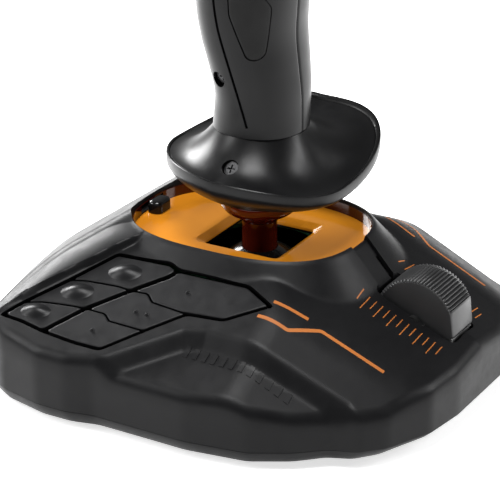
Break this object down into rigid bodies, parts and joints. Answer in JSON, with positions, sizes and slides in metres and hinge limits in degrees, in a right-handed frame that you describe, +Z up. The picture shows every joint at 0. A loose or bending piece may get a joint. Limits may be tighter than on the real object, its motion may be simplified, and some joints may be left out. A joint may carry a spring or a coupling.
{
  "type": "flight joystick",
  "caption": "Desktop flight joystick: tilting, twisting grip with hand rest and trigger on a black base with amber plate, push buttons and a ribbed throttle wheel.",
  "frame": {"origin": "on the table, below the stick's axis, which is the middle of the base", "axes": "+X to the user's right, +Y away from the user, +Z up"},
  "size_m": [0.182, 0.194, 0.24],
  "materials": {
    "black_grain": "fine spark-eroded grain, satin",
    "black_satin": "smooth satin",
    "black_soft": "soft touch",
    "amber_clear": "glossy transparent amber",
    "amber_dark": "glossy dark amber",
    "steel": "brushed",
    "brass": "turned",
    "board": "solder mask",
    "silicone": "moulded silicone",
    "black_plain": "moulded",
    "blue_plain": "moulded"
  },
  "bodies": {
    "base": {"upper_shell": "black_grain", "lower_shell": "black_grain", "light_plate": "amber_clear", "rubber_feet": "black_soft", "base_screws": "steel", "cable_gland": "black_soft", "main_board": "board", "ballast_plate": "steel", "light_board": "board", "left_membrane": "silicone", "right_membrane": "silicone", "left_button_board": "board", "right_button_board": "board", "throttle_bracket": "black_plain", "throttle_sensor": "blue_plain", "gimbal_housing": "black_plain", "gimbal_screws": "steel", "sensor_board": "board"},
    "selector": {"selector_slider": "black_satin"},
    "left_button_1": {"left_button_1": "black_grain"},
    "left_button_2": {"left_button_2": "black_grain"},
    "left_button_3": {"left_button_3": "black_grain"},
    "left_button_4": {"left_button_4": "black_grain"},
    "left_button_5": {"left_button_5": "black_grain"},
    "left_button_6": {"left_button_6": "black_grain"},
    "right_button_1": {"right_button_1": "black_grain"},
    "right_button_2": {"right_button_2": "black_grain"},
    "right_button_3": {"right_button_3": "black_grain"},
    "right_button_4": {"right_button_4": "black_grain"},
    "right_button_5": {"right_button_5": "black_grain"},
    "right_button_6": {"right_button_6": "black_grain"},
    "throttle": {"throttle_wheel": "black_grain", "throttle_axle": "steel"},
    "gimbal": {"gimbal_ring": "steel"},
    "stick": {"stick_knuckle": "black_plain", "roll_pin": "steel", "magnet_holder": "black_plain", "magnet": "steel", "centring_spring": "steel", "neck_shaft": "amber_dark", "dust_dome": "black_soft", "neck_cup": "amber_dark"},
    "grip": {"twist_bush": "brass", "twist_spring": "steel", "hand_rest": "black_satin", "rest_screw": "steel", "left_grip_shell": "black_satin", "right_grip_shell": "black_satin", "grip_screws": "steel", "side_panels": "black_soft", "head_cap": "black_satin", "trigger_pin": "steel", "trigger_frame": "black_plain"},
    "trigger": {"trigger": "black_satin"},
    "hat_cradle": {"hat_cradle": "steel"},
    "hat": {"hat_switch": "black_satin", "hat_yoke": "steel"},
    "thumb_left": {"thumb_button_left": "black_satin"},
    "thumb_middle": {"thumb_button_middle": "black_satin"},
    "thumb_right": {"thumb_button_right": "black_satin"}
  },
  "joints": [
    {"name": "stick_pitch", "type": "hinge", "parent": "base", "child": "gimbal", "pos_m": [0, 0, 0.028], "axis": [1, 0, 0], "range_deg": [-15, 15], "stiffness_Nm_per_rad": 6},
    {"name": "stick_roll", "type": "hinge", "parent": "gimbal", "child": "stick", "pos_m": [0, 0, 0.028], "axis": [0, 1, 0], "range_deg": [-15, 15], "stiffness_Nm_per_rad": 6},
    {"name": "grip_twist", "type": "hinge", "parent": "stick", "child": "grip", "pos_m": [0, 0, 0.08], "axis": [0, 0, 1], "range_deg": [-18, 18], "stiffness_Nm_per_rad": 1},
    {"name": "trigger_pull", "type": "hinge", "parent": "grip", "child": "trigger", "pos_m": [0, 0.0075, 0.1968], "axis": [1, 0, 0], "range_deg": [-8, 0], "stiffness_Nm_per_rad": 1},
    {"name": "hat_pitch", "type": "hinge", "parent": "grip", "child": "hat_cradle", "pos_m": [0, -0.00241, 0.22746], "axis": [1, 0, 0], "range_deg": [-10, 10], "stiffness_Nm_per_rad": 0.08},
    {"name": "hat_roll", "type": "hinge", "parent": "hat_cradle", "child": "hat", "pos_m": [0, -0.00241, 0.22746], "axis": [0, 0.848, 0.5299], "range_deg": [-10, 10], "stiffness_Nm_per_rad": 0.08},
    {"name": "thumb_left_press", "type": "slide", "parent": "grip", "child": "thumb_left", "axis": [0, 0.5299, -0.848], "range_m": [0, 0.0012], "stiffness_N_per_m": 800},
    {"name": "thumb_middle_press", "type": "slide", "parent": "grip", "child": "thumb_middle", "axis": [0, 0.5299, -0.848], "range_m": [0, 0.0012], "stiffness_N_per_m": 800},
    {"name": "thumb_right_press", "type": "slide", "parent": "grip", "child": "thumb_right", "axis": [0, 0.5299, -0.848], "range_m": [0, 0.0012], "stiffness_N_per_m": 800},
    {"name": "left_button_1_press", "type": "slide", "parent": "base", "child": "left_button_1", "axis": [0.4254, 0, -0.905], "range_m": [0, 0.0012], "stiffness_N_per_m": 800},
    {"name": "left_button_2_press", "type": "slide", "parent": "base", "child": "left_button_2", "axis": [0.4254, 0, -0.905], "range_m": [0, 0.0012], "stiffness_N_per_m": 800},
    {"name": "left_button_3_press", "type": "slide", "parent": "base", "child": "left_button_3", "axis": [0.4254, 0, -0.905], "range_m": [0, 0.0012], "stiffness_N_per_m": 800},
    {"name": "left_button_4_press", "type": "slide", "parent": "base", "child": "left_button_4", "axis": [0.4254, 0, -0.905], "range_m": [0, 0.0012], "stiffness_N_per_m": 800},
    {"name": "left_button_5_press", "type": "slide", "parent": "base", "child": "left_button_5", "axis": [0.4254, 0, -0.905], "range_m": [0, 0.0012], "stiffness_N_per_m": 800},
    {"name": "left_button_6_press", "type": "slide", "parent": "base", "child": "left_button_6", "axis": [0.4254, 0, -0.905], "range_m": [0, 0.0012], "stiffness_N_per_m": 800},
    {"name": "right_button_1_press", "type": "slide", "parent": "base", "child": "right_button_1", "axis": [-0.4254, 0, -0.905], "range_m": [0, 0.0012], "stiffness_N_per_m": 800},
    {"name": "right_button_2_press", "type": "slide", "parent": "base", "child": "right_button_2", "axis": [-0.4254, 0, -0.905], "range_m": [0, 0.0012], "stiffness_N_per_m": 800},
    {"name": "right_button_3_press", "type": "slide", "parent": "base", "child": "right_button_3", "axis": [-0.4254, 0, -0.905], "range_m": [0, 0.0012], "stiffness_N_per_m": 800},
    {"name": "right_button_4_press", "type": "slide", "parent": "base", "child": "right_button_4", "axis": [-0.4254, 0, -0.905], "range_m": [0, 0.0012], "stiffness_N_per_m": 800},
    {"name": "right_button_5_press", "type": "slide", "parent": "base", "child": "right_button_5", "axis": [-0.4254, 0, -0.905], "range_m": [0, 0.0012], "stiffness_N_per_m": 800},
    {"name": "right_button_6_press", "type": "slide", "parent": "base", "child": "right_button_6", "axis": [-0.4254, 0, -0.905], "range_m": [0, 0.0012], "stiffness_N_per_m": 800},
    {"name": "throttle_turn", "type": "hinge", "parent": "base", "child": "throttle", "pos_m": [0, -0.0723, 0.0364], "axis": [1, 0, 0], "range_deg": [-30, 12]},
    {"name": "selector_slide", "type": "slide", "parent": "base", "child": "selector", "axis": [1, 0, 0], "range_m": [-0.002, 0.002]}
  ]
}
